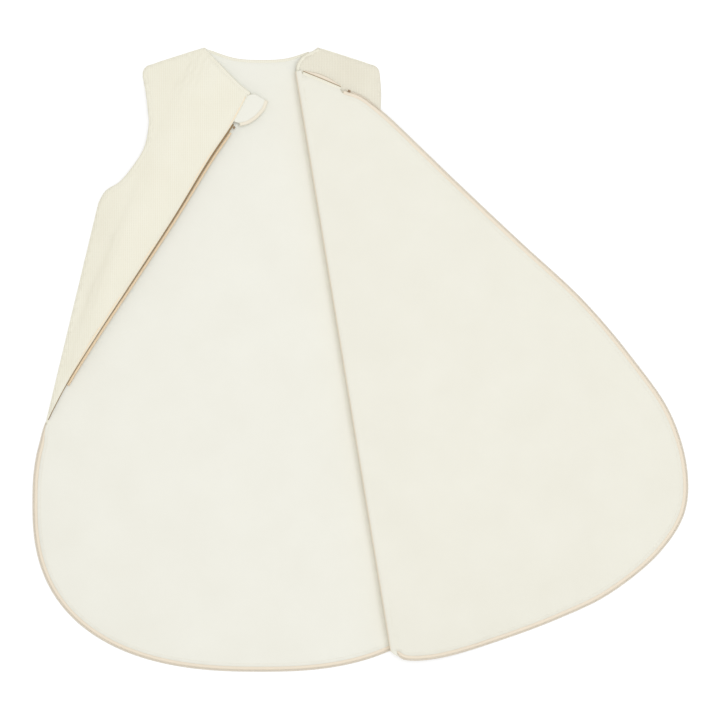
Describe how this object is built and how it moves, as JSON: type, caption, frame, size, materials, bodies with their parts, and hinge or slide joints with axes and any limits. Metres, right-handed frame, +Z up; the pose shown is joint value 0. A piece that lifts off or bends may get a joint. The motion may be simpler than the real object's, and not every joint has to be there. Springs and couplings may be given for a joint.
{
  "type": "baby sleeping bag",
  "caption": "Sleeveless padded baby sleeping bag laid flat and unzipped, one front folded open over the other side and the other front folded along a lapel line, with chin guard.",
  "frame": {"origin": "centre of the overall outline, on the surface the bag lies on", "axes": "+X to the right across the bag towards the folded-open front, +Y from hem to neck, +Z up"},
  "size_m": [0.7342, 0.6998, 0.0282],
  "materials": {
    "outer_cloth": "soft matt knit",
    "lining_cloth": "smooth matt jersey",
    "wadding": "loose fibre",
    "zip_tape": "woven tape",
    "zip_coil": "satin nylon",
    "zip_metal": "satin metal"
  },
  "bodies": {
    "bag": {"back_outer": "outer_cloth", "back_wadding": "wadding", "back_lining": "lining_cloth", "back_neck_binding": "outer_cloth", "left_front_outer": "outer_cloth", "left_front_wadding": "wadding", "left_front_lining": "lining_cloth", "right_front_outer": "outer_cloth", "right_front_wadding": "wadding", "right_front_lining": "lining_cloth", "right_neck_binding": "outer_cloth", "zip_tape_back": "zip_tape", "zip_coil_back": "zip_coil", "zip_tape_front": "zip_tape", "zip_coil_front": "zip_coil", "zip_bottom_stop": "zip_metal"},
    "lapel": {"left_lapel_outer": "outer_cloth", "left_lapel_wadding": "wadding", "left_lapel_lining": "lining_cloth", "left_neck_binding": "outer_cloth", "zip_tape_lapel": "zip_tape", "zip_coil_lapel": "zip_coil", "zip_top_stop_lapel": "zip_metal"},
    "flap": {"flap_outer": "outer_cloth", "flap_wadding": "wadding", "flap_lining": "lining_cloth", "flap_neck_binding": "outer_cloth", "zip_tape_flap": "zip_tape", "zip_coil_flap": "zip_coil", "zip_top_stop_flap": "zip_metal"},
    "guard": {"chin_guard_top": "lining_cloth", "chin_guard_under": "lining_cloth", "chin_guard_binding": "lining_cloth"},
    "slider": {"zip_slider": "zip_metal"},
    "tab": {"zip_pull_tab": "zip_metal"}
  },
  "joints": [
    {"name": "flap_fold", "type": "hinge", "parent": "bag", "child": "flap", "pos_m": [-0.06505, 0.32409, 0.0182], "axis": [0.1619, -0.9868, 0], "range_deg": [0, 181.5]},
    {"name": "lapel_fold", "type": "hinge", "parent": "bag", "child": "lapel", "pos_m": [-0.17451, 0.34791, 0.0163], "axis": [-0.3902, -0.9207, 0], "range_deg": [0, 155]},
    {"name": "chin_guard_fold", "type": "hinge", "parent": "lapel", "child": "guard", "pos_m": [-0.12496, 0.29647, 0.0131], "axis": [-0.447, -0.8945, 0], "range_deg": [0, 160]},
    {"name": "slider_travel", "type": "hinge", "parent": "bag", "child": "slider", "pos_m": [-0.03061, -0.17452, 0.0055], "axis": [0, 0, -1], "range_deg": [0, 10.8]},
    {"name": "pull_tab_swing", "type": "hinge", "parent": "slider", "child": "tab", "pos_m": [0.08074, -0.30272, 0.0055], "axis": [0, 0, -1], "range_deg": [0, 150]}
  ]
}
